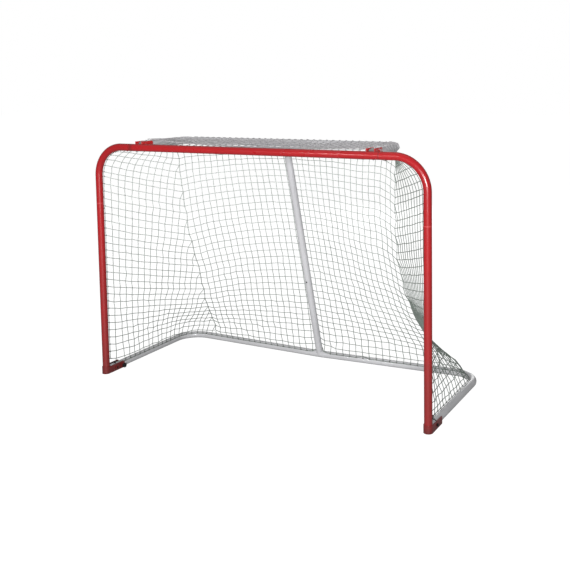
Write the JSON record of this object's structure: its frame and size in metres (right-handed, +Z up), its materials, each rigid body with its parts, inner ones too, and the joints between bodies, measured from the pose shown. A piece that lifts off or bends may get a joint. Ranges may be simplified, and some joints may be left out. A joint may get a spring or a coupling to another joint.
{
  "type": "ice hockey goal",
  "caption": "Knock-down ice hockey goal: red tubular mouth frame, grey tubular base, rear strut and top shelf, joined by sleeves, brackets and bolts, with a knotted net hung on pegs.",
  "frame": {"origin": "middle of the footprint, at floor level", "axes": "+X across the mouth, +Y from the mouth to the back of the goal, +Z up"},
  "size_m": [1.923, 0.7911, 1.276],
  "materials": {
    "red_paint": "satin enamel on steel tube",
    "grey_paint": "satin light grey enamel on steel tube",
    "black_plastic": "moulded, matt",
    "black_steel": "black oxide with a thin gloss",
    "zinc": "zinc plated",
    "twine": "braided polyester twine, greyish white"
  },
  "bodies": {
    "frame": {"crossbar": "red_paint", "elbow_left": "red_paint", "elbow_right": "red_paint", "post_left": "red_paint", "post_right": "red_paint", "top_sleeve_left": "zinc", "top_sleeve_right": "zinc", "post_sleeve_left": "zinc", "post_sleeve_right": "zinc", "post_plug_left": "black_plastic", "post_plug_right": "black_plastic", "foot_bracket_left": "red_paint", "foot_bracket_right": "red_paint", "foot_bolts": "black_steel", "foot_nuts": "zinc", "base_side_left": "grey_paint", "base_side_right": "grey_paint", "base_middle": "grey_paint", "base_sleeve_left": "zinc", "base_sleeve_right": "zinc", "strut_lower": "grey_paint", "strut_upper": "grey_paint", "strut_sleeve": "zinc", "strut_screw": "black_steel", "shelf_side_left": "grey_paint", "shelf_side_right": "grey_paint", "shelf_middle": "grey_paint", "shelf_sleeve_left": "zinc", "shelf_sleeve_right": "zinc", "top_bracket_left": "red_paint", "top_bracket_right": "red_paint", "top_bolts": "black_steel", "top_nuts": "zinc", "joint_screws": "zinc", "end_plugs": "black_plastic", "base_pegs": "black_plastic", "post_pegs": "black_plastic", "crossbar_pegs": "black_plastic", "net_back": "twine", "net_left": "twine", "net_right": "twine", "net_top": "twine"},
    "clamp_knob_left": {"clamp_knob_left": "black_plastic"},
    "clamp_knob_right": {"clamp_knob_right": "black_plastic"}
  },
  "joints": [
    {"name": "clamp_left", "type": "hinge", "parent": "frame", "child": "clamp_knob_left", "pos_m": [-0.9, -0.2674, 0.015], "axis": [-1, 0, 0], "continuous": true},
    {"name": "clamp_right", "type": "hinge", "parent": "frame", "child": "clamp_knob_right", "pos_m": [0.9, -0.2674, 0.015], "axis": [1, 0, 0], "continuous": true}
  ]
}
